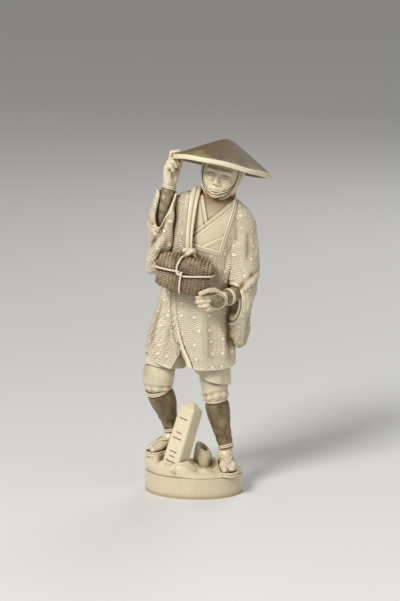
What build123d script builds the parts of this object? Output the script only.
from build123d import *
import os
from math import radians, sin, cos

# Okimono carving of a standing traveller, built the way sectional ivory figures are:
# blocks of ivory meet under a hem, a cuff or a cord, and blind round pegs join them.
# Millimetres, +Z up. The origin is the middle of the plinth's underside and the
# figure faces -Y. Right and left are the figure's own.

# Plinth: an oval slice of tusk, turned a little from the figure's front.
plinth_width = 66.0
plinth_depth = 50.0
plinth_height = 14.0
plinth_turn = -10.0
plinth_edge = 0.7

# Joints between sections: the glue line, and the round pegs that cross it.
glue_gap = 0.1
peg_gap = 0.05
peg_radius = 1.5
peg_length = 9.0
fine_peg_radius = 0.9
fine_peg_length = 6.0
overrun = 5.0

# Ground: a thin crust on the plinth, a high rock under the right foot, low ones elsewhere.
ground_inset = 0.8
ground_thickness = 2.6
ground_edge = 1.1
rock_lip = 0.7
rock_overhang = 0.8
marker_rock_rise = 9.0
marker_rock_radius = 11.0
pebble_radius = 5.5

# Stump: a short hollow stump behind the road marker.
stump_x = 5.2
stump_y = 1.5
stump_radius = 5.3
stump_height = 19.0
stump_pit_depth = 6.0
stump_wall = 1.4
stump_slope = 38.0

# Road marker: a four-sided post with a pyramid top, leaning and turned.
marker_base_x = -14.2
marker_base_y = -14.5
marker_lean = 16.5
marker_back = 7.0
marker_turn = 34.0
marker_foot_side = 13.2
marker_top_side = 11.9
marker_shaft_length = 44.0
marker_cap_height = 4.6
marker_edge = 0.5
marker_tenon_side = 7.0
marker_tenon_length = 5.0

# Feet: split-toed socks on straw sandals. Heading is measured from +X.
foot_length = 25.0
foot_width = 11.4
foot_height = 12.0
sole_thickness = 1.8
sole_border = 1.3
ankle_rise = 13.5
ankle_radius = 5.2
ankle_back_share = 0.24
right_heel_x = -10.8
right_heel_y = 7.8
right_heel_rise = 15.2
right_toe_drop = 1.6
right_heading = 217.0
left_heel_x = 20.2
left_heel_y = 3.2
left_heel_rise = 5.6
left_toe_drop = 3.0
left_heading = 278.0

# Legs: stained leggings below, pale breeches gathered over the knee above.
right_knee_x = -23.9
right_knee_y = -1.0
right_knee_rise = 56.5
right_legging_radius = 8.8
right_breeches_radius = 10.6
left_knee_x = 14.6
left_knee_y = -2.0
left_knee_rise = 50.3
left_legging_radius = 7.8
left_breeches_radius = 9.0
legging_tie_width = 1.3
legging_tie_height = 0.6
breeches_inset = 4.0
breeches_sag = 1.8

# Under-robe: two skirts that show below the coat, one round each thigh.
robe_recess = 5.0
right_skirt_x = -19.6
right_skirt_y = -0.5
right_skirt_radius = 13.6
right_skirt_drop = 0.8
right_skirt_tilt = -8.0
left_skirt_x = 12.0
left_skirt_y = -0.5
left_skirt_radius = 12.8
left_skirt_drop = 9.9
left_skirt_tilt = -16.0

# Coat: the main block, from the hem to the root of the neck.
coat_hem_rise = 73.5
coat_height = 115.0
coat_width = 62.0
coat_depth = 41.0
coat_hem_x = -2.5
coat_hem_y = 1.0
neck_x = 14.5
neck_y = 2.0
front_notch_width = 12.0
front_notch_height = 13.0
front_notch_x = -9.5
front_notch_depth = 6.0
hem_lift_height = 9.5
hem_lift_width = 21.0
coat_lap_step = 1.0
coat_fold_count = 7
coat_fold_first = 33.7
coat_fold_radius = 7.0
coat_fold_depth = 1.2

# Chest: the crossed collars in the coat's square neckline.
chest_recess = 0.9
chest_backing = 9.0
bare_neck_depth = 1.4
neckline_x = 7.0
neckline_width = 18.0
neckline_drop = 30.5

# Sleeves: hanging bags of the coat's cloth.
right_sleeve_height = 55.0
right_sleeve_width = 17.5
right_sleeve_depth = 23.0
right_sleeve_x = -22.0
right_sleeve_y = -3.0
right_sleeve_top_rise = 2.0
left_sleeve_height = 97.0
left_sleeve_width = 19.0
left_sleeve_depth = 27.0
left_sleeve_x = 33.5
left_sleeve_y = -3.0
left_sleeve_top_drop = 5.0
sleeve_wall = 1.8
sleeve_mouth_depth = 4.0

# Forearms in stained arm guards.
wrist_radius = 4.1
forearm_radius = 6.0
guard_tie_width = 1.1
guard_tie_height = 0.5
right_elbow_drop = 25.0
right_elbow_out = 6.5
right_elbow_back = 0.5
left_forearm_length = 21.0

# Hands.
hand_length = 22.0
finger_radius = 1.75
thumb_radius = 1.95
grip_reach = 19.0
grip_out = 2.4
palm_turn = 49.0

# Head and its cloth.
head_height = 31.0
head_width = 26.5
head_depth = 29.0
head_lean = 12.0
head_back = 6.0
chin_drop = 2.0
chin_forward = 3.0
neck_radius = 6.6
neck_socket_depth = 7.0
nose_radius = 2.0
head_cloth_thickness = 1.5
face_opening_width = 24.0
face_opening_height = 27.0
chin_cord_width = 1.5
chin_cord_height = 0.9

# Hat: a shallow cone with a thick middle and a thin rim.
hat_radius = 33.2
hat_height = 18.5
hat_rim_height = 2.2
hat_seat_radius = 9.0
hat_underside_height = 11.5
hat_apex_radius = 3.2
hat_lean = 12.4
hat_back = 11.0
hat_seat_rise = 20.6

# Basket, its cord, and the sling that carries it.
basket_width = 37.5
basket_depth = 19.0
basket_height = 23.0
basket_corner = 6.5
basket_belly_clearance = 0.3
basket_x = -6.4
basket_drop = 48.5
basket_roll = 9.9
basket_yaw = -5.0
basket_rib_width = 2.5
basket_groove_width = 0.8
basket_groove_depth = 0.5
cord_width = 1.3
cord_height = 0.7
tie_offset = -2.2
sling_width = 3.9
sling_thickness = 1.5
sling_top_x = 1.6
knot_radius = 2.6

# Levels and points that follow from those sizes.
right_heel_level = plinth_height + right_heel_rise
left_heel_level = plinth_height + left_heel_rise
coat_hem_level = plinth_height + coat_hem_rise
neck_level = coat_hem_level + coat_height
chin_level = neck_level - chin_drop


def heading_vector(heading, fall, run):
    """A unit vector that heads the given way and falls by `fall` over `run`."""
    flat = Vector(cos(radians(heading)), sin(radians(heading)), 0)
    return (flat * run - Vector(0, 0, fall)).normalized()


def leaning_vector(lean, back):
    """Straight up, leaned towards +X and then back towards +Y, in degrees."""
    return Vector(sin(radians(lean)), sin(radians(back)), cos(radians(lean)) * cos(radians(back)))


def ring_body(rings, grow=0.0):
    """A smooth body through level ellipses, each a centre, a half width and a half depth."""
    with BuildPart() as body:
        for centre, half_width, half_depth in rings:
            with BuildSketch(Plane(centre)):
                Ellipse(half_width + grow, half_depth + grow)
        loft()
    return body.part


def limb_body(stations, grow=0.0, across=(1, 0, 0)):
    """A smooth body through ellipses square to a path, each a centre, a direction and two radii."""
    with BuildPart() as body:
        for centre, direction, half_width, half_depth in stations:
            with BuildSketch(Plane(origin=centre, x_dir=across, z_dir=direction)):
                Ellipse(half_width + grow, half_depth + grow)
        loft()
    return body.part


def bone_body(start, end, radius):
    """One finger bone: a round bar with rounded ends that reach a little past its joints."""
    way = (end - start).normalized()
    with BuildPart() as bone:
        with BuildSketch(Plane(origin=start - way * radius * 0.55, z_dir=way)):
            Circle(radius)
        extrude(amount=(end - start).length + radius * 1.1)
        fillet(bone.edges().filter_by(GeomType.CIRCLE), radius * 0.75)
    return bone.part


def finger_body(points, root_radius, tip_radius):
    """A finger or thumb: bones end to end through its joints, thinner towards the tip."""
    bones = list(zip(points, points[1:]))
    with BuildPart() as finger:
        for index, (start, end) in enumerate(bones):
            radius = root_radius + (tip_radius - root_radius) * index / (len(bones) - 1)
            add(bone_body(start, end, radius))
    return finger.part


def peg_bodies(joints, radius, length, grow=0.0):
    """Round pegs, each centred on a joint point and lying along a direction."""
    with BuildPart() as pegs:
        for point, direction in joints:
            with BuildSketch(Plane(origin=point, z_dir=direction)):
                Circle(radius + grow)
            extrude(amount=length / 2 + grow, both=True)
    return pegs.part


def band_body(centre, direction, half_width, half_depth, width, height, across=(1, 0, 0)):
    """A tie round a limb: a flat ring of the limb's own section, standing proud of it."""
    with BuildPart() as band:
        with BuildSketch(Plane(origin=centre, x_dir=across, z_dir=direction)):
            Ellipse(half_width + height, half_depth + height)
        extrude(amount=width)
    return band.part


# The coat's shape drives much of the figure: shares of its height, of the way from the
# hem's middle to the neck's, and of its width and depth.
coat_ring_shares = [
    (0.000, 0.000, 0.985, 1.000),
    (0.085, 0.010, 0.975, 0.985),
    (0.290, 0.110, 0.850, 0.920),
    (0.450, 0.230, 0.750, 0.890),
    (0.610, 0.380, 0.750, 0.910),
    (0.770, 0.580, 0.820, 0.890),
    (0.870, 0.710, 0.800, 0.790),
    (0.955, 0.620, 0.670, 0.620),
    (1.000, 0.640, 0.470, 0.440),
]
coat_rings = [
    (
        Vector(
            coat_hem_x + (neck_x - coat_hem_x) * sway,
            coat_hem_y + (neck_y - coat_hem_y) * sway,
            coat_hem_level + coat_height * height,
        ),
        coat_width / 2 * wide,
        coat_depth / 2 * deep,
    )
    for height, sway, wide, deep in coat_ring_shares
]
coat_form = ring_body(coat_rings)
coat_tool = ring_body(coat_rings, grow=glue_gap)


def coat_ring_at(level):
    """The coat's level ellipse at a height: its centre, half width and half depth."""
    lower, upper = coat_rings[0], coat_rings[1]
    for low, high in zip(coat_rings, coat_rings[1:]):
        if low[0].Z <= level:
            lower, upper = low, high
    share = (level - lower[0].Z) / (upper[0].Z - lower[0].Z)
    centre = lower[0] + (upper[0] - lower[0]) * share
    half_width = lower[1] + (upper[1] - lower[1]) * share
    half_depth = lower[2] + (upper[2] - lower[2]) * share
    return centre, half_width, half_depth


def coat_front_at(x, level):
    """The coat's front surface, as a y, at a given x and height."""
    centre, half_width, half_depth = coat_ring_at(level)
    off_centre = min(abs(x - centre.X) / half_width, 1.0)
    return centre.Y - half_depth * (1 - off_centre**2) ** 0.5


# Feet. Each stands in a frame that runs from heel to toe along its sole.
foot_station_shares = [
    (0.00, 0.46, 0.36, 0.30),
    (0.12, 0.72, 0.40, 0.44),
    (0.30, 0.82, 0.42, 0.52),
    (0.55, 0.94, 0.30, 0.40),
    (0.80, 1.00, 0.20, 0.27),
    (0.95, 0.82, 0.16, 0.20),
    (1.00, 0.50, 0.15, 0.13),
]


def foot_frame(heel, heading, toe_drop):
    """The plane of a sole: x runs from the heel to the toe."""
    ahead = heading_vector(heading, toe_drop, foot_length)
    side = Vector(0, 0, 1).cross(ahead)
    return Plane(origin=heel, x_dir=ahead, z_dir=ahead.cross(side))


def ankle_point(frame):
    """The joint between foot and legging, above the heel."""
    return frame.from_local_coords(Vector(foot_length * ankle_back_share, 0, 0)) + Vector(0, 0, ankle_rise)


def foot_body(frame, shin):
    """A foot, its ankle up to the joint and its sandal sole, as one carved block."""
    ankle = ankle_point(frame)
    instep = frame.from_local_coords(Vector(foot_length * ankle_back_share, 0, foot_height * 0.5))
    sock = limb_body(
        [
            (
                frame.from_local_coords(Vector(foot_length * along, 0, foot_height * middle)),
                frame.x_dir,
                foot_width / 2 * wide,
                foot_height * tall,
            )
            for along, wide, middle, tall in foot_station_shares
        ],
        across=frame.y_dir,
    )
    shank = limb_body(
        [(instep, shin, ankle_radius * 0.9, ankle_radius * 1.05), (ankle, shin, ankle_radius, ankle_radius)]
    )
    with BuildPart() as foot:
        add(sock)
        add(shank)
        split(bisect_by=frame, keep=Keep.TOP)
        with BuildSketch(frame):
            with Locations((foot_length / 2, 0)):
                Ellipse(foot_length / 2 + sole_border, foot_width / 2 + sole_border)
        extrude(amount=-sole_thickness)
    return foot.part


def seat_tool(frame):
    """The space a foot needs above its seat in the rock, a glue line wider than the sole."""
    with BuildPart() as seat:
        with BuildSketch(frame.offset(-sole_thickness)):
            with Locations((foot_length / 2, 0)):
                Ellipse(
                    foot_length / 2 + sole_border + glue_gap,
                    foot_width / 2 + sole_border + glue_gap,
                )
        extrude(amount=foot_height)
    return seat.part


right_frame = foot_frame(
    Vector(right_heel_x, right_heel_y, right_heel_level), right_heading, right_toe_drop
)
left_frame = foot_frame(
    Vector(left_heel_x, left_heel_y, left_heel_level), left_heading, left_toe_drop
)
right_ankle = ankle_point(right_frame)
left_ankle = ankle_point(left_frame)
right_knee_point = Vector(right_knee_x, right_knee_y, plinth_height + right_knee_rise)
left_knee_point = Vector(left_knee_x, left_knee_y, plinth_height + left_knee_rise)
right_shin = (right_knee_point - right_ankle).normalized()
left_shin = (left_knee_point - left_ankle).normalized()
ankle_joints = [(right_ankle, right_shin), (left_ankle, left_shin)]
ankle_pin_holes = peg_bodies(ankle_joints, peg_radius, peg_length, peg_gap)
sole_joints = [
    (frame.from_local_coords(Vector(foot_length / 2, 0, -sole_thickness)), frame.z_dir)
    for frame in (right_frame, left_frame)
]
sole_pin_holes = peg_bodies(sole_joints, fine_peg_radius, fine_peg_length, peg_gap)

with BuildPart() as right_foot:
    add(foot_body(right_frame, right_shin))
    add(ankle_pin_holes, mode=Mode.SUBTRACT)
    add(sole_pin_holes, mode=Mode.SUBTRACT)

with BuildPart() as left_foot:
    add(foot_body(left_frame, left_shin))
    add(ankle_pin_holes, mode=Mode.SUBTRACT)
    add(sole_pin_holes, mode=Mode.SUBTRACT)

with BuildPart() as ankle_pins:
    add(peg_bodies(ankle_joints, peg_radius, peg_length))

with BuildPart() as sole_pins:
    add(peg_bodies(sole_joints, fine_peg_radius, fine_peg_length))

# Road marker: its own frame stands at the foot of the shaft, in the ground.
marker_axis = leaning_vector(marker_lean, marker_back)
marker_frame = Plane(
    origin=(marker_base_x, marker_base_y, plinth_height + ground_thickness),
    x_dir=(cos(radians(marker_turn)), -sin(radians(marker_turn)), 0),
    z_dir=marker_axis,
)


def marker_body(grow=0.0):
    """The tapered shaft under its low pyramid, with a square tenon below."""
    with BuildPart() as marker:
        for level, side in ((0.0, marker_foot_side), (marker_shaft_length, marker_top_side)):
            with BuildSketch(marker_frame.offset(level)):
                Rectangle(side + 2 * grow, side + 2 * grow)
        loft(ruled=True)
        with BuildSketch(marker_frame.offset(marker_shaft_length)):
            Rectangle(marker_top_side + 2 * grow, marker_top_side + 2 * grow)
        with BuildSketch(marker_frame.offset(marker_shaft_length + marker_cap_height)):
            Rectangle(marker_edge, marker_edge)
        loft(ruled=True)
        with BuildSketch(marker_frame):
            Rectangle(marker_tenon_side + 2 * grow, marker_tenon_side + 2 * grow)
        extrude(amount=-marker_tenon_length)
    return marker.part


with BuildPart() as road_marker:
    add(marker_body())

# Stump: a hollow round with a slanting saw cut.
stump_foot = plinth_height + ground_thickness / 2


def stump_body(grow=0.0):
    """The stump's outside, standing in a shallow seat in the ground."""
    with BuildPart() as outside:
        with BuildSketch(Plane((stump_x, stump_y, stump_foot - grow))):
            Circle(stump_radius + grow)
        extrude(amount=stump_height + grow, taper=2)
    return outside.part


stump_cut_frame = Plane(
    origin=(stump_x, stump_y, stump_foot + stump_height * 0.72),
    z_dir=(sin(radians(stump_slope)), -sin(radians(stump_slope)) / 3, cos(radians(stump_slope))),
)
with BuildPart() as stump:
    add(stump_body())
    split(bisect_by=stump_cut_frame, keep=Keep.BOTTOM)
    with BuildSketch(stump_cut_frame):
        Circle(stump_radius - stump_wall)
    extrude(amount=-stump_pit_depth, mode=Mode.SUBTRACT)

# Ground: everything that stands on it has a seat cut in it.
rock_ring_shares = [
    (0.00, 1.18, 1.55),
    (0.45, 1.16, 1.45),
    (0.90, 1.02, 1.12),
    (1.00, 0.90, 0.95),
]


def foot_rock(frame, level):
    """The rock below a foot: turned ovals that narrow up to just above the sole's seat."""
    middle = frame.from_local_coords(Vector(foot_length / 2, 0, -sole_thickness))
    turn = Vector(frame.x_dir.X, frame.x_dir.Y, 0)
    rise = middle.Z + rock_lip - level
    with BuildPart() as rock:
        for height, long, wide in rock_ring_shares:
            base = Plane(
                origin=(middle.X, middle.Y, level + rise * height), x_dir=turn, z_dir=(0, 0, 1)
            )
            with BuildSketch(base):
                Ellipse(foot_length / 2 * long, foot_width / 2 * wide)
        loft()
    return rock.part


ground_top = plinth_height + ground_thickness
with BuildPart() as ground_limit:
    with BuildSketch(Plane.XY.offset(plinth_height)):
        Ellipse(
            plinth_width / 2 + rock_overhang, plinth_depth / 2 + rock_overhang, rotation=plinth_turn
        )
    extrude(amount=right_heel_rise + overrun)

dowel_spread = plinth_width / 4
dowel_joints = [
    (Vector(side * dowel_spread, 0, plinth_height), Vector(0, 0, 1)) for side in (-1, 1)
]
dowel_length = ground_thickness * 2.4
dowel_holes = peg_bodies(dowel_joints, peg_radius, dowel_length, peg_gap)

with BuildPart() as ground:
    with BuildSketch(Plane.XY.offset(plinth_height)):
        Ellipse(
            plinth_width / 2 - ground_inset, plinth_depth / 2 - ground_inset, rotation=plinth_turn
        )
    extrude(amount=ground_thickness)
    fillet(ground.faces().sort_by(Axis.Z)[-1].edges(), ground_edge)
    add(foot_rock(right_frame, plinth_height))
    add(foot_rock(left_frame, plinth_height))
    with BuildSketch(Plane((marker_base_x, marker_base_y, plinth_height))):
        Ellipse(marker_rock_radius, marker_rock_radius * 0.9)
    with BuildSketch(Plane((marker_base_x, marker_base_y, plinth_height + marker_rock_rise))):
        Ellipse(marker_rock_radius * 0.72, marker_rock_radius * 0.68)
    loft()
    with Locations((pebble_radius, -plinth_depth * 0.3, ground_top - pebble_radius * 0.55)):
        Sphere(pebble_radius)
    add(ground_limit.part, mode=Mode.INTERSECT)
    add(marker_body(grow=glue_gap), mode=Mode.SUBTRACT)
    add(stump_body(grow=glue_gap), mode=Mode.SUBTRACT)
    add(seat_tool(right_frame), mode=Mode.SUBTRACT)
    add(seat_tool(left_frame), mode=Mode.SUBTRACT)
    add(sole_pin_holes, mode=Mode.SUBTRACT)
    add(dowel_holes, mode=Mode.SUBTRACT)

with BuildPart() as plinth_dowels:
    add(peg_bodies(dowel_joints, peg_radius, dowel_length))

with BuildPart() as plinth:
    with BuildSketch(Plane.XY):
        Ellipse(plinth_width / 2, plinth_depth / 2, rotation=plinth_turn)
    extrude(amount=plinth_height)
    chamfer(plinth.faces().sort_by(Axis.Z)[-1].edges(), plinth_edge)
    add(dowel_holes, mode=Mode.SUBTRACT)
    add(sole_pin_holes, mode=Mode.SUBTRACT)
    add(marker_body(grow=glue_gap), mode=Mode.SUBTRACT)

# Leggings run straight from ankle to knee, with a tie at each end.
legging_station_shares = [(0.0, 0.0), (0.28, 0.22), (0.62, 0.86), (0.85, 1.0), (1.0, 0.97)]


def legging_body(ankle, knee, shin, knee_radius):
    """A legging that swells over the calf, with its two ties standing proud."""
    stations = [
        (
            ankle + (knee - ankle) * along,
            shin,
            ankle_radius + (knee_radius - ankle_radius) * swell,
            ankle_radius + (knee_radius - ankle_radius) * swell,
        )
        for along, swell in legging_station_shares
    ]
    top = knee - shin * legging_tie_width
    knee_tie = band_body(
        top, shin, stations[-1][2], stations[-1][3], legging_tie_width, legging_tie_height
    )
    ankle_tie = band_body(
        ankle, shin, ankle_radius, ankle_radius, legging_tie_width, legging_tie_height
    )
    with BuildPart() as legging:
        add(limb_body(stations))
        add(knee_tie)
        add(ankle_tie)
    return legging.part


knee_joints = [(right_knee_point, right_shin), (left_knee_point, left_shin)]
knee_pin_holes = peg_bodies(knee_joints, peg_radius, peg_length, peg_gap)

with BuildPart() as right_legging:
    add(legging_body(right_ankle, right_knee_point, right_shin, right_legging_radius))
    add(ankle_pin_holes, mode=Mode.SUBTRACT)
    add(knee_pin_holes, mode=Mode.SUBTRACT)

with BuildPart() as left_legging:
    add(legging_body(left_ankle, left_knee_point, left_shin, left_legging_radius))
    add(ankle_pin_holes, mode=Mode.SUBTRACT)
    add(knee_pin_holes, mode=Mode.SUBTRACT)

with BuildPart() as knee_pins:
    add(peg_bodies(knee_joints, peg_radius, peg_length))

# Breeches: gathered over the knee and pegged up into the coat.
robe_top = coat_hem_level + robe_recess
breeches_top = robe_top - breeches_inset


def breeches_stations(knee, shin, legging_radius, full_radius, top_x, top_y, sag):
    """From the knee tie, out over the gathered cloth, to a flat end inside the under-robe."""
    top = Vector(top_x, top_y, breeches_top)
    rise = top - knee
    upright = Vector(0, 0, 1)
    lean = (shin + upright).normalized()
    return [
        (knee, shin, legging_radius * 0.97, legging_radius * 0.97),
        (knee + rise * 0.16, shin, legging_radius * 1.06, legging_radius * 1.08),
        (knee + rise * 0.5 - Vector(sag, 0, 0), lean, full_radius, full_radius * 1.08),
        (top, upright, full_radius * 0.88, full_radius * 0.95),
    ]


right_thigh = breeches_stations(
    right_knee_point,
    right_shin,
    right_legging_radius,
    right_breeches_radius,
    right_skirt_x,
    right_skirt_y,
    breeches_sag,
)
left_thigh = breeches_stations(
    left_knee_point,
    left_shin,
    left_legging_radius,
    left_breeches_radius,
    left_skirt_x,
    left_skirt_y,
    0.0,
)
hip_joints = [(thigh[-1][0], Vector(0, 0, 1)) for thigh in (right_thigh, left_thigh)]
hip_length = peg_length * 1.6
hip_pin_holes = peg_bodies(hip_joints, peg_radius, hip_length, peg_gap)

with BuildPart() as right_breeches:
    add(limb_body(right_thigh))
    add(knee_pin_holes, mode=Mode.SUBTRACT)
    add(hip_pin_holes, mode=Mode.SUBTRACT)

with BuildPart() as left_breeches:
    add(limb_body(left_thigh))
    add(knee_pin_holes, mode=Mode.SUBTRACT)
    add(hip_pin_holes, mode=Mode.SUBTRACT)

with BuildPart() as hip_pins:
    add(peg_bodies(hip_joints, peg_radius, hip_length))

# Under-robe: one short skirt round each thigh, joined where they enter the coat.


def skirt_body(x, y, radius, drop, tilt, grow=0.0):
    """A skirt from its tilted hem up into the recess under the coat."""
    tilted = (-sin(radians(tilt)), 0, cos(radians(tilt)))
    hem = Plane(origin=(x, y, coat_hem_level - drop - grow), x_dir=(1, 0, 0), z_dir=tilted)
    with BuildPart() as skirt:
        with BuildSketch(hem):
            Ellipse(radius + grow, radius * 1.04 + grow)
        with BuildSketch(Plane((x, y, robe_top + grow))):
            Ellipse(radius * 0.94 + grow, radius * 0.96 + grow)
        loft()
    return skirt.part


def robe_body(grow=0.0):
    """Both skirts and the web between them, which the coat's recess takes."""
    with BuildPart() as robe:
        add(
            skirt_body(
                right_skirt_x,
                right_skirt_y,
                right_skirt_radius,
                right_skirt_drop,
                right_skirt_tilt,
                grow,
            )
        )
        add(
            skirt_body(
                left_skirt_x,
                left_skirt_y,
                left_skirt_radius,
                left_skirt_drop,
                left_skirt_tilt,
                grow,
            )
        )
        with BuildSketch(Plane((0, 0, coat_hem_level + robe_recess / 2 - grow))):
            with Locations(((right_skirt_x + left_skirt_x) / 2, right_skirt_y)):
                Rectangle(
                    left_skirt_x - right_skirt_x, right_skirt_radius + 2 * grow
                )
        extrude(amount=robe_recess / 2 + 2 * grow)
    return robe.part


with BuildPart() as under_robe:
    add(robe_body())
    add(limb_body(right_thigh, grow=glue_gap), mode=Mode.SUBTRACT)
    add(limb_body(left_thigh, grow=glue_gap), mode=Mode.SUBTRACT)
    add(hip_pin_holes, mode=Mode.SUBTRACT)

# Chest: what fills the square neckline, a little below the coat's surface.
neckline_outline_shares = [(-0.50, 0.00), (0.50, -0.18), (1.12, 0.82), (0.62, 1.20), (-0.40, 1.20)]
neckline_low = neck_level - neckline_drop
neckline_points = [
    (neckline_x + neckline_width * across, neckline_low + (neck_level - neckline_low) * up)
    for across, up in neckline_outline_shares
]


def neckline_tool(grow=0.0):
    """The neckline's outline, cut straight back into the coat's block."""
    with BuildPart() as tool:
        with BuildSketch(Plane.XZ.offset(coat_depth)):
            with BuildLine():
                Polyline(*neckline_points, close=True)
            make_face()
            if grow:
                offset(amount=grow)
        extrude(amount=-(coat_depth * 1.5 - chest_backing + grow))
    return tool.part


neck_root = Vector(neck_x, neck_y, neck_level - neck_socket_depth)
head_axis = leaning_vector(head_lean, -head_back / 3)
chin_point = Vector(neck_x, neck_y - chin_forward, chin_level)
neck_stations = [
    (neck_root, Vector(0, 0, 1), neck_radius, neck_radius),
    (Vector(neck_x, neck_y, neck_level), Vector(0, 0, 1), neck_radius, neck_radius),
    (
        chin_point + head_axis * (head_height * 0.25),
        head_axis,
        neck_radius,
        neck_radius,
    ),
]
neck_joint = [(neck_root, Vector(0, 0, 1))]
neck_peg_hole = peg_bodies(neck_joint, peg_radius, peg_length, peg_gap)

# The head's ovals, up its own axis from under the chin to the crown.
head_station_shares = [
    (0.00, -0.20, 0.34, 0.44),
    (0.07, -0.12, 0.62, 0.70),
    (0.22, -0.05, 0.84, 0.90),
    (0.45, 0.00, 0.98, 0.98),
    (0.65, 0.02, 1.00, 1.00),
    (0.85, 0.03, 0.86, 0.88),
    (1.00, 0.04, 0.52, 0.56),
]
head_stations = [
    (
        chin_point + head_axis * (head_height * up) + Vector(0, head_depth * back, 0),
        head_axis,
        head_width / 2 * wide,
        head_depth / 2 * deep,
    )
    for up, back, wide, deep in head_station_shares
]
head_pocket = limb_body(head_stations, grow=head_cloth_thickness + glue_gap)

# The bare neck shows in a shallow V between the crossed collars.
collar_v_points = [
    (neckline_x + neckline_width * across, neckline_low + (neck_level - neckline_low) * up)
    for across, up in ((0.02, 1.2), (0.02, 0.46), (0.72, 1.2))
]
with BuildPart() as collar_v:
    with BuildSketch(Plane.XZ.offset(coat_depth)):
        with BuildLine():
            Polyline(*collar_v_points, close=True)
        make_face()
    extrude(amount=-coat_depth)
    add(ring_body(coat_rings, grow=-chest_recess - bare_neck_depth), mode=Mode.SUBTRACT)

with BuildPart() as chest:
    add(ring_body(coat_rings, grow=-chest_recess))
    add(neckline_tool(), mode=Mode.INTERSECT)
    add(collar_v.part, mode=Mode.SUBTRACT)
    add(head_pocket, mode=Mode.SUBTRACT)
    add(limb_body(neck_stations, grow=glue_gap), mode=Mode.SUBTRACT)
    add(neck_peg_hole, mode=Mode.SUBTRACT)

# Sleeves: shares of each sleeve's height, side shift, front shift, width and depth.
right_sleeve_ring_shares = [
    (0.00, -0.30, -0.12, 0.36, 0.34),
    (0.10, -0.28, -0.12, 0.70, 0.66),
    (0.32, -0.12, -0.10, 0.84, 0.92),
    (0.55, -0.06, 0.00, 0.96, 1.00),
    (0.75, 0.06, 0.04, 1.08, 0.98),
    (0.90, 0.22, 0.08, 0.98, 0.82),
    (1.00, 0.30, 0.10, 0.70, 0.60),
]
left_sleeve_ring_shares = [
    (0.00, -0.19, -0.20, 0.22, 0.24),
    (0.05, -0.18, -0.19, 0.44, 0.42),
    (0.16, -0.14, -0.17, 0.68, 0.66),
    (0.32, -0.08, -0.14, 0.88, 0.90),
    (0.47, 0.03, -0.04, 1.00, 0.98),
    (0.64, 0.04, 0.06, 0.96, 0.92),
    (0.80, -0.08, 0.14, 0.98, 0.86),
    (0.88, -0.16, 0.17, 0.98, 0.76),
    (0.96, -0.34, 0.20, 0.70, 0.58),
    (1.00, -0.50, 0.21, 0.44, 0.40),
]


def sleeve_rings(shares, x, y, foot, height, width, depth):
    """Rings for a hanging sleeve, from the bottom of its bag to the shoulder."""
    return [
        (
            Vector(x + width * side, y + depth * front, foot + height * up),
            width / 2 * wide,
            depth / 2 * deep,
        )
        for up, side, front, wide, deep in shares
    ]


right_sleeve_rings = sleeve_rings(
    right_sleeve_ring_shares,
    right_sleeve_x,
    right_sleeve_y,
    neck_level + right_sleeve_top_rise - right_sleeve_height,
    right_sleeve_height,
    right_sleeve_width,
    right_sleeve_depth,
)
left_sleeve_rings = sleeve_rings(
    left_sleeve_ring_shares,
    left_sleeve_x,
    left_sleeve_y,
    neck_level - left_sleeve_top_drop - left_sleeve_height,
    left_sleeve_height,
    left_sleeve_width,
    left_sleeve_depth,
)

# Hat, in a frame whose z is its own axis and whose origin is the middle of its rim.
hat_axis = leaning_vector(hat_lean, hat_back)
hat_centre = chin_point + head_axis * hat_seat_rise
hat_frame = Plane(origin=hat_centre, x_dir=(cos(radians(hat_lean)), 0, -sin(radians(hat_lean))), z_dir=hat_axis)
hat_section = Plane(origin=hat_centre, x_dir=hat_frame.x_dir, z_dir=-hat_frame.y_dir)


def hat_body(grow=0.0):
    """The cone, turned about its axis: thin at the rim, thick over the crown of the head."""
    with BuildPart() as cone:
        with BuildSketch(hat_section):
            with BuildLine():
                Polyline(
                    (0, hat_height + grow),
                    (hat_apex_radius, hat_height - hat_apex_radius / 6 + grow),
                    (hat_radius + grow, hat_rim_height / 2 + grow),
                    (hat_radius + grow, -hat_rim_height / 2 - grow),
                    (hat_radius - hat_rim_height, -hat_rim_height / 2 - grow),
                    (hat_seat_radius, hat_underside_height - grow),
                    (0, hat_underside_height - grow),
                    close=True,
                )
            make_face()
        revolve(axis=Axis(hat_centre, hat_axis))
    return cone.part


def hat_ceiling():
    """Everything above the hat's underside, for trimming what the hat sits on."""
    with BuildPart() as ceiling:
        with BuildSketch(hat_section):
            with BuildLine():
                Polyline(
                    (0, hat_height + hat_radius),
                    (hat_radius + overrun, hat_height + hat_radius),
                    (hat_radius + overrun, -hat_rim_height / 2 - glue_gap),
                    (hat_radius - hat_rim_height, -hat_rim_height / 2 - glue_gap),
                    (hat_seat_radius, hat_underside_height - glue_gap),
                    (0, hat_underside_height - glue_gap),
                    close=True,
                )
            make_face()
        revolve(axis=Axis(hat_centre, hat_axis))
    return ceiling.part


hat_joint = [(hat_centre + hat_axis * hat_underside_height, hat_axis)]
hat_peg_hole = peg_bodies(hat_joint, peg_radius, fine_peg_length, peg_gap)
hat_ceiling_tool = hat_ceiling()

with BuildPart() as hat:
    add(hat_body())
    add(hat_peg_hole, mode=Mode.SUBTRACT)

with BuildPart() as hat_peg:
    add(peg_bodies(hat_joint, peg_radius, fine_peg_length))

# Head: its ovals narrow to the chin below and stop against the hat above.
face_middle = chin_point + head_axis * (head_height * 0.5)
nose_point = chin_point + head_axis * (head_height * 0.42) - Vector(0, head_depth * 0.47, 0)

with BuildPart() as head:
    add(limb_body(head_stations))
    add(limb_body(neck_stations))
    with Locations(nose_point):
        Sphere(nose_radius)
    add(hat_ceiling_tool, mode=Mode.SUBTRACT)
    add(neck_peg_hole, mode=Mode.SUBTRACT)
    add(hat_peg_hole, mode=Mode.SUBTRACT)

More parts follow.
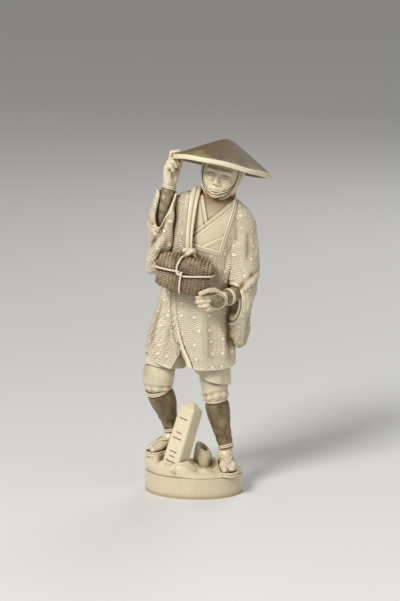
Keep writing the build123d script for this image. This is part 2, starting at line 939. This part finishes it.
with BuildPart() as neck_peg:
    add(peg_bodies(neck_joint, peg_radius, peg_length))

with BuildPart() as face_opening:
    with BuildSketch(Plane(origin=face_middle, x_dir=hat_frame.x_dir, z_dir=(0, -1, 0))):
        Ellipse(face_opening_width / 2, face_opening_height / 2)
    extrude(amount=head_depth)

with BuildPart() as head_cloth:
    add(limb_body(head_stations, grow=head_cloth_thickness))
    add(limb_body(head_stations, grow=glue_gap), mode=Mode.SUBTRACT)
    add(limb_body(neck_stations, grow=glue_gap), mode=Mode.SUBTRACT)
    add(face_opening.part, mode=Mode.SUBTRACT)
    add(hat_ceiling_tool, mode=Mode.SUBTRACT)

# Chin cord: a thin loop over the cloth, from the hat's underside down round the chin.
cord_plane_point = chin_point + head_axis * (head_height * 0.5)
with BuildPart() as cord_slab:
    with BuildSketch(Plane(origin=cord_plane_point, x_dir=hat_frame.x_dir, z_dir=(0, -1, 0))):
        Rectangle(head_width * 2, head_height * 2)
    extrude(amount=chin_cord_width)

with BuildPart() as chin_cord:
    add(limb_body(head_stations, grow=head_cloth_thickness + chin_cord_height))
    add(limb_body(head_stations, grow=head_cloth_thickness + glue_gap), mode=Mode.SUBTRACT)
    add(cord_slab.part, mode=Mode.INTERSECT)
    add(hat_ceiling_tool, mode=Mode.SUBTRACT)
    add(limb_body(neck_stations, grow=glue_gap), mode=Mode.SUBTRACT)
    add(coat_tool, mode=Mode.SUBTRACT)

# Coat: the block, less its recess for the under-robe and its pockets for neck and chest.
front_notch_y = coat_hem_y - coat_depth / 2 - overrun
with BuildPart() as front_notch:
    with BuildSketch(Plane.XZ.offset(-front_notch_y)):
        with BuildLine():
            Polyline(
                (front_notch_x - front_notch_width / 2, coat_hem_level - overrun),
                (front_notch_x + front_notch_width / 2, coat_hem_level - overrun),
                (front_notch_x, coat_hem_level + front_notch_height),
                close=True,
            )
        make_face()
    extrude(amount=-(front_notch_depth + overrun))

hem_corner_x = coat_hem_x - coat_width / 2
with BuildPart() as hem_lift:
    with BuildSketch(Plane.XZ.offset(coat_depth)):
        with BuildLine():
            Polyline(
                (hem_corner_x - overrun, coat_hem_level - overrun),
                (hem_corner_x + hem_lift_width, coat_hem_level - overrun),
                (hem_corner_x + hem_lift_width, coat_hem_level),
                (hem_corner_x, coat_hem_level + hem_lift_height),
                (hem_corner_x - overrun, coat_hem_level + hem_lift_height + overrun / 2),
                close=True,
            )
        make_face()
    extrude(amount=-coat_depth * 2)

# The left front laps over the right one, which lies a step lower from the hem to the basket.
coat_lap_shares = [
    (-0.020, -0.05),
    (-0.110, 0.14),
    (-0.163, 0.32),
    (-0.174, 0.40),
    (-0.153, 0.61),
    (-0.600, 0.61),
    (-0.600, -0.05),
]
with BuildPart() as coat_lap:
    with BuildSketch(Plane.XZ.offset(coat_depth)):
        with BuildLine():
            Polyline(
                *[
                    (coat_hem_x + coat_width * across, coat_hem_level + coat_height * up)
                    for across, up in coat_lap_shares
                ],
                close=True,
            )
        make_face()
    extrude(amount=-coat_depth)
    add(Pos(0, coat_lap_step, 0) * coat_form, mode=Mode.SUBTRACT)

# Hollows between the folds rise from the hem and fade. None falls on the front opening.
coat_fold_shares = [(-0.05, 1.0), (0.10, 0.9), (0.22, 0.5), (0.34, -0.2)]


def fold_station(heading, up, deep):
    """One ring of a hollow: level, and standing off the coat so that it cuts only so deep."""
    centre, half_width, half_depth = coat_ring_at(coat_hem_level + coat_height * up)
    side, front = sin(radians(heading)), cos(radians(heading))
    outward = Vector(side / half_width, -front / half_depth, 0).normalized()
    on_coat = centre + Vector(half_width * side, -half_depth * front, 0)
    stand_off = coat_fold_radius - coat_fold_depth * deep
    return on_coat + outward * stand_off, Vector(0, 0, 1), coat_fold_radius, coat_fold_radius


with BuildPart() as coat_hollows:
    for index in range(coat_fold_count - 1):
        heading = coat_fold_first + 360 / coat_fold_count * index
        add(limb_body([fold_station(heading, up, deep) for up, deep in coat_fold_shares]))

shoulder_joints = [
    (
        Vector(
            right_sleeve_rings[2][0].X + right_sleeve_rings[2][1],
            coat_rings[-3][0].Y,
            right_sleeve_rings[2][0].Z,
        ),
        Vector(1, 0, 0),
    ),
    (
        Vector(
            left_sleeve_rings[-4][0].X,
            coat_rings[-3][0].Y,
            left_sleeve_rings[-4][0].Z,
        ),
        Vector(1, 0, 0),
    ),
]
shoulder_peg_holes = peg_bodies(shoulder_joints, peg_radius, peg_length, peg_gap)

# Basket: hung against the belly, rolled and turned a little.
basket_level = neck_level - basket_drop
basket_y = (
    coat_front_at(basket_x, basket_level) - basket_belly_clearance - basket_depth / 2
)
basket_frame = Plane(Vector(basket_x, basket_y, basket_level)).rotated((0, basket_roll, basket_yaw))


def basket_block(grow=0.0):
    """The basket's rounded box in its own frame, grown evenly all round."""
    with BuildPart() as block:
        with BuildSketch(basket_frame.offset(-basket_height / 2 - grow)):
            RectangleRounded(
                basket_width + 2 * grow, basket_depth + 2 * grow, basket_corner + grow
            )
        extrude(amount=basket_height + 2 * grow)
        ends = block.faces().sort_by(Axis(basket_frame.origin, basket_frame.z_dir))
        fillet(ends[-1].edges() + ends[0].edges(), (basket_corner + grow) * 0.6)
    return block.part


def basket_point(across, forward, up):
    """A point of the basket's frame, in shares of its width, depth and height."""
    return basket_frame.from_local_coords(
        Vector(basket_width * across, -basket_depth * forward, basket_height * up)
    )


basket_joints = [
    (basket_point(side * 0.2, -0.5, 0.1), basket_frame.y_dir) for side in (-1, 1)
]
basket_peg_holes = peg_bodies(basket_joints, fine_peg_radius, fine_peg_length, peg_gap)

# The basket's upright ribs are parted by grooves that run right round it.
basket_rib_count = int(basket_width // basket_rib_width)
with BuildPart() as basket_grooves:
    for index in range(1, basket_rib_count):
        groove_x = basket_width * (index / basket_rib_count - 1 / 2) - basket_groove_width / 2
        with BuildSketch(
            Plane(
                origin=basket_frame.from_local_coords(Vector(groove_x, 0, 0)),
                x_dir=basket_frame.y_dir,
                z_dir=basket_frame.x_dir,
            )
        ):
            Rectangle(basket_depth * 2, basket_height * 2)
        extrude(amount=basket_groove_width)
    add(basket_block(grow=-basket_groove_depth), mode=Mode.SUBTRACT)

with BuildPart() as basket:
    add(basket_block())
    add(basket_grooves.part, mode=Mode.SUBTRACT)
    add(coat_tool, mode=Mode.SUBTRACT)
    add(basket_peg_holes, mode=Mode.SUBTRACT)

with BuildPart() as cord_planes:
    with BuildSketch(basket_frame.offset(-cord_width / 2)):
        Rectangle(basket_width * 2, basket_depth * 2)
    extrude(amount=cord_width)
    with BuildSketch(
        Plane(
            origin=basket_frame.from_local_coords(Vector(tie_offset - cord_width / 2, 0, 0)),
            x_dir=basket_frame.y_dir,
            z_dir=basket_frame.x_dir,
        )
    ):
        Rectangle(basket_depth * 2, basket_height * 2)
    extrude(amount=cord_width)

with BuildPart() as basket_cord:
    add(basket_block(grow=cord_height))
    add(basket_block(grow=glue_gap / 2), mode=Mode.SUBTRACT)
    add(cord_planes.part, mode=Mode.INTERSECT)
    add(coat_tool, mode=Mode.SUBTRACT)
    add(basket_peg_holes, mode=Mode.SUBTRACT)

with BuildPart() as basket_pegs:
    add(peg_bodies(basket_joints, fine_peg_radius, fine_peg_length))

with BuildPart() as coat:
    add(coat_form)
    add(robe_body(grow=glue_gap), mode=Mode.SUBTRACT)
    add(front_notch.part, mode=Mode.SUBTRACT)
    add(hem_lift.part, mode=Mode.SUBTRACT)
    add(coat_lap.part, mode=Mode.SUBTRACT)
    add(coat_hollows.part, mode=Mode.SUBTRACT)
    add(neckline_tool(grow=glue_gap), mode=Mode.SUBTRACT)
    add(head_pocket, mode=Mode.SUBTRACT)
    add(limb_body(neck_stations, grow=glue_gap), mode=Mode.SUBTRACT)
    add(hip_pin_holes, mode=Mode.SUBTRACT)
    add(shoulder_peg_holes, mode=Mode.SUBTRACT)
    add(basket_peg_holes, mode=Mode.SUBTRACT)
    add(neck_peg_hole, mode=Mode.SUBTRACT)

with BuildPart() as shoulder_pegs:
    add(peg_bodies(shoulder_joints, peg_radius, peg_length))

# Knot and sling. The sling runs from the shoulder beside the neck to the knot.
knot_point = basket_frame.from_local_coords(
    Vector(tie_offset + knot_radius, 0, basket_height / 2 + cord_height + knot_radius * 0.9)
)


def knot_body(grow=0.0):
    """A loop to each side of a thicker wrap, with a flat foot on the basket's cord."""
    side = basket_frame.x_dir * knot_radius
    rise = basket_frame.z_dir * (knot_radius * 0.3)
    with BuildPart() as knot:
        add(bone_body(knot_point - side, knot_point + side, knot_radius * 0.66 + grow))
        add(bone_body(knot_point - rise, knot_point + rise, knot_radius * 0.85 + grow))
        split(
            bisect_by=basket_frame.offset(basket_height / 2 + cord_height + glue_gap / 2 - grow),
            keep=Keep.TOP,
        )
    return knot.part


with BuildPart() as sling_knot:
    add(knot_body())
    add(coat_tool, mode=Mode.SUBTRACT)

sling_top_level = neck_level - neck_socket_depth * 0.3
sling_levels = [
    sling_top_level,
    sling_top_level * 0.67 + knot_point.Z * 0.33,
    sling_top_level * 0.33 + knot_point.Z * 0.67,
]
sling_points = [
    Vector(
        sling_top_x + (knot_point.X - sling_top_x) * index / len(sling_levels),
        coat_front_at(sling_top_x + (knot_point.X - sling_top_x) * index / len(sling_levels), level)
        - sling_thickness / 2
        - glue_gap,
        level,
    )
    for index, level in enumerate(sling_levels)
] + [knot_point + Vector(0, 0, knot_radius / 2)]

with BuildPart() as sling_band:
    for index, point in enumerate(sling_points):
        before = sling_points[max(index - 1, 0)]
        after = sling_points[min(index + 1, len(sling_points) - 1)]
        with BuildSketch(Plane(origin=point, x_dir=(1, 0, 0), z_dir=before - after)):
            Rectangle(sling_width, sling_thickness)
    loft()

with BuildPart() as sling:
    add(sling_band.part)
    add(coat_tool, mode=Mode.SUBTRACT)
    add(knot_body(grow=glue_gap), mode=Mode.SUBTRACT)

# Hands: finger paths in shares of the hand's length. x runs across the palm to the thumb,
# y out of the palm, z from the wrist to the knuckles.
palm_station_shares = [
    (0.00, 0.00, 0.186, 0.186),
    (0.22, 0.02, 0.250, 0.170),
    (0.45, 0.03, 0.270, 0.150),
    (0.62, 0.03, 0.235, 0.115),
]
gripping_finger_shares = [
    [(0.10, 0.00, 0.46), (0.05, -0.03, 0.78), (0.06, 0.00, 0.96), (0.19, 0.17, 0.99)],
    [(0.00, 0.02, 0.46), (-0.05, 0.05, 0.74), (0.00, 0.20, 0.80), (0.06, 0.25, 0.66)],
    [(-0.10, 0.02, 0.44), (-0.14, 0.06, 0.68), (-0.09, 0.21, 0.72), (-0.03, 0.25, 0.58)],
    [(-0.19, 0.02, 0.38), (-0.22, 0.06, 0.56), (-0.18, 0.19, 0.60), (-0.12, 0.22, 0.47)],
]
gripping_thumb_shares = [(0.14, 0.02, 0.16), (0.27, 0.07, 0.42), (0.27, 0.15, 0.62), (0.22, 0.21, 0.76)]
holding_finger_shares = [
    [(0.14, 0.02, 0.46), (0.15, 0.03, 0.64), (0.15, 0.08, 0.78), (0.14, 0.16, 0.88)],
    [(0.04, 0.02, 0.46), (0.04, 0.03, 0.66), (0.04, 0.08, 0.81), (0.03, 0.16, 0.91)],
    [(-0.07, 0.02, 0.44), (-0.08, 0.03, 0.62), (-0.08, 0.08, 0.76), (-0.08, 0.16, 0.86)],
    [(-0.17, 0.02, 0.38), (-0.19, 0.03, 0.54), (-0.19, 0.07, 0.67), (-0.18, 0.14, 0.76)],
]
holding_thumb_shares = [(0.12, 0.02, 0.18), (0.28, 0.04, 0.36), (0.34, 0.06, 0.54), (0.33, 0.08, 0.72)]


def hand_body(frame, finger_shares, thumb_shares):
    """A palm with four fingers and a thumb, as one carved block."""

    def place(share):
        return frame.from_local_coords(Vector(*share) * hand_length)

    palm = limb_body(
        [
            (place((0, out, along)), frame.z_dir, hand_length * wide, hand_length * deep)
            for along, out, wide, deep in palm_station_shares
        ],
        across=frame.x_dir,
    )
    fingers = [
        finger_body([place(share) for share in path], finger_radius * 1.06, finger_radius * 0.9)
        for path in finger_shares
    ]
    thumb = finger_body(
        [place(share) for share in thumb_shares], thumb_radius * 1.15, thumb_radius * 0.9
    )
    with BuildPart() as hand:
        add(palm)
        for finger in fingers:
            add(finger)
        add(thumb)
    return hand.part


# Right arm: the hand pinches the brim, and the forearm drops from it into the sleeve.
grip_point = hat_frame.from_local_coords(Vector(-hat_radius, 0, 0))
right_wrist = grip_point - Vector(grip_out, 0, grip_reach)
right_elbow = right_wrist - Vector(right_elbow_out, right_elbow_back, right_elbow_drop)
right_reach = (right_wrist - right_elbow).normalized()
right_palm_frame = Plane(
    origin=right_wrist,
    x_dir=(-cos(radians(palm_turn)), -sin(radians(palm_turn)), 0),
    z_dir=(grip_out * 0.3, 0, grip_reach),
)
mirrored_finger_shares = [[(-x, y, z) for x, y, z in path] for path in gripping_finger_shares]
mirrored_thumb_shares = [(-x, y, z) for x, y, z in gripping_thumb_shares]

# Left arm: the forearm comes forward out of the sleeve to the basket's lower corner.
left_wrist = basket_point(0.60, -0.26, -0.66)
left_elbow = Vector(left_sleeve_x - left_sleeve_width / 6, left_sleeve_y, left_wrist.Z + wrist_radius / 2)
left_reach = (left_wrist - left_elbow).normalized()
left_hand_frame = Plane(
    origin=left_wrist,
    x_dir=(0.55, -0.45, 0.7),
    z_dir=(-0.55, -0.8, 0.13),
)


def forearm_stations(elbow, wrist, reach):
    """A forearm that thins from its end in the sleeve to the wrist."""
    return [
        (elbow, reach, forearm_radius, forearm_radius),
        (elbow + (wrist - elbow) * 0.55, reach, forearm_radius * 0.9, forearm_radius * 0.9),
        (wrist, reach, wrist_radius, wrist_radius),
    ]


right_forearm_stations = forearm_stations(right_elbow, right_wrist, right_reach)
left_forearm_stations = forearm_stations(left_elbow, left_wrist, left_reach)


def forearm_body(stations, wrist, reach):
    """The arm guard with the cord tied round its wrist end."""
    with BuildPart() as forearm:
        add(limb_body(stations))
        add(
            band_body(
                wrist - reach * guard_tie_width,
                reach,
                wrist_radius,
                wrist_radius,
                guard_tie_width,
                guard_tie_height,
            )
        )
    return forearm.part


wrist_joints = [(right_wrist, right_reach), (left_wrist, left_reach)]
wrist_peg_holes = peg_bodies(wrist_joints, fine_peg_radius, fine_peg_length, peg_gap)
elbow_joints = [(right_elbow, right_reach), (left_elbow, left_reach)]
elbow_peg_holes = peg_bodies(elbow_joints, peg_radius, fine_peg_length, peg_gap)
wrist_faces = [
    Plane(origin=right_wrist, z_dir=right_reach),
    Plane(origin=left_wrist, z_dir=left_reach),
]

with BuildPart() as right_forearm:
    add(forearm_body(right_forearm_stations, right_wrist, right_reach))
    add(coat_tool, mode=Mode.SUBTRACT)
    add(wrist_peg_holes, mode=Mode.SUBTRACT)
    add(elbow_peg_holes, mode=Mode.SUBTRACT)

with BuildPart() as left_forearm:
    add(forearm_body(left_forearm_stations, left_wrist, left_reach))
    add(coat_tool, mode=Mode.SUBTRACT)
    add(wrist_peg_holes, mode=Mode.SUBTRACT)
    add(elbow_peg_holes, mode=Mode.SUBTRACT)

with BuildPart() as right_hand:
    add(hand_body(right_palm_frame, mirrored_finger_shares, mirrored_thumb_shares))
    split(bisect_by=wrist_faces[0], keep=Keep.TOP)
    add(hat_body(grow=glue_gap), mode=Mode.SUBTRACT)
    add(wrist_peg_holes, mode=Mode.SUBTRACT)

with BuildPart() as left_hand:
    add(hand_body(left_hand_frame, holding_finger_shares, holding_thumb_shares))
    split(bisect_by=wrist_faces[1], keep=Keep.TOP)
    add(basket_block(grow=glue_gap), mode=Mode.SUBTRACT)
    add(basket_cord.part, mode=Mode.SUBTRACT)
    add(wrist_peg_holes, mode=Mode.SUBTRACT)

with BuildPart() as wrist_pegs:
    add(peg_bodies(wrist_joints, fine_peg_radius, fine_peg_length))

with BuildPart() as elbow_pegs:
    add(peg_bodies(elbow_joints, peg_radius, fine_peg_length))


def mouth_tool(rings, level, elbow, reach):
    """The open inside of a sleeve round the arm, above the level where its cloth fills it."""
    with BuildPart() as inside:
        add(ring_body(rings, grow=-sleeve_wall))
        split(bisect_by=Plane(origin=elbow + reach * level, z_dir=reach), keep=Keep.TOP)
    return inside.part


# The right sleeve falls open in a V down to the elbow; the left one opens to the front.
right_mouth_low = right_sleeve_rings[-3][0].Z - sleeve_mouth_depth
right_mouth_x = right_sleeve_rings[-3][0].X
with BuildPart() as right_mouth_v:
    with BuildSketch(Plane.XZ.offset(right_sleeve_depth)):
        with BuildLine():
            Polyline(
                (right_mouth_x, right_mouth_low),
                (right_sleeve_rings[-1][0].X + right_sleeve_width * 0.34, neck_level + overrun),
                (right_sleeve_rings[-1][0].X - right_sleeve_width * 0.36, neck_level + overrun),
                close=True,
            )
        make_face()
    extrude(amount=-right_sleeve_depth)

with BuildPart() as left_mouth:
    add(
        limb_body(
            [
                (left_elbow + left_reach * along, left_reach, wide, tall)
                for along, wide, tall in (
                    (left_forearm_length * 0.35, forearm_radius, forearm_radius + sleeve_wall),
                    (left_forearm_length, forearm_radius, forearm_radius + 4 * sleeve_wall),
                )
            ]
        )
    )

with BuildPart() as right_sleeve:
    add(ring_body(right_sleeve_rings))
    add(coat_tool, mode=Mode.SUBTRACT)
    add(right_mouth_v.part, mode=Mode.SUBTRACT)
    add(mouth_tool(right_sleeve_rings, sleeve_mouth_depth, right_elbow, right_reach), mode=Mode.SUBTRACT)
    add(limb_body(right_forearm_stations, grow=glue_gap), mode=Mode.SUBTRACT)
    add(basket_block(grow=cord_height + glue_gap), mode=Mode.SUBTRACT)
    add(shoulder_peg_holes, mode=Mode.SUBTRACT)
    add(elbow_peg_holes, mode=Mode.SUBTRACT)

with BuildPart() as left_sleeve:
    add(ring_body(left_sleeve_rings))
    add(coat_tool, mode=Mode.SUBTRACT)
    add(left_mouth.part, mode=Mode.SUBTRACT)
    add(limb_body(left_forearm_stations, grow=glue_gap), mode=Mode.SUBTRACT)
    add(shoulder_peg_holes, mode=Mode.SUBTRACT)
    add(elbow_peg_holes, mode=Mode.SUBTRACT)

pieces = {
    "plinth": plinth,
    "plinth_dowels": plinth_dowels,
    "ground": ground,
    "stump": stump,
    "road_marker": road_marker,
    "sole_pins": sole_pins,
    "right_foot": right_foot,
    "left_foot": left_foot,
    "ankle_pins": ankle_pins,
    "right_legging": right_legging,
    "left_legging": left_legging,
    "knee_pins": knee_pins,
    "right_breeches": right_breeches,
    "left_breeches": left_breeches,
    "hip_pins": hip_pins,
    "under_robe": under_robe,
    "coat": coat,
    "chest": chest,
    "shoulder_pegs": shoulder_pegs,
    "right_sleeve": right_sleeve,
    "left_sleeve": left_sleeve,
    "elbow_pegs": elbow_pegs,
    "right_forearm": right_forearm,
    "left_forearm": left_forearm,
    "wrist_pegs": wrist_pegs,
    "right_hand": right_hand,
    "left_hand": left_hand,
    "neck_peg": neck_peg,
    "head": head,
    "head_cloth": head_cloth,
    "chin_cord": chin_cord,
    "hat_peg": hat_peg,
    "hat": hat,
    "basket": basket,
    "basket_cord": basket_cord,
    "basket_pegs": basket_pegs,
    "sling_knot": sling_knot,
    "sling": sling,
}

os.makedirs("parts", exist_ok=True)
for name, piece in pieces.items():
    piece.part.label = name
    export_step(piece.part, f"parts/{name}.step")
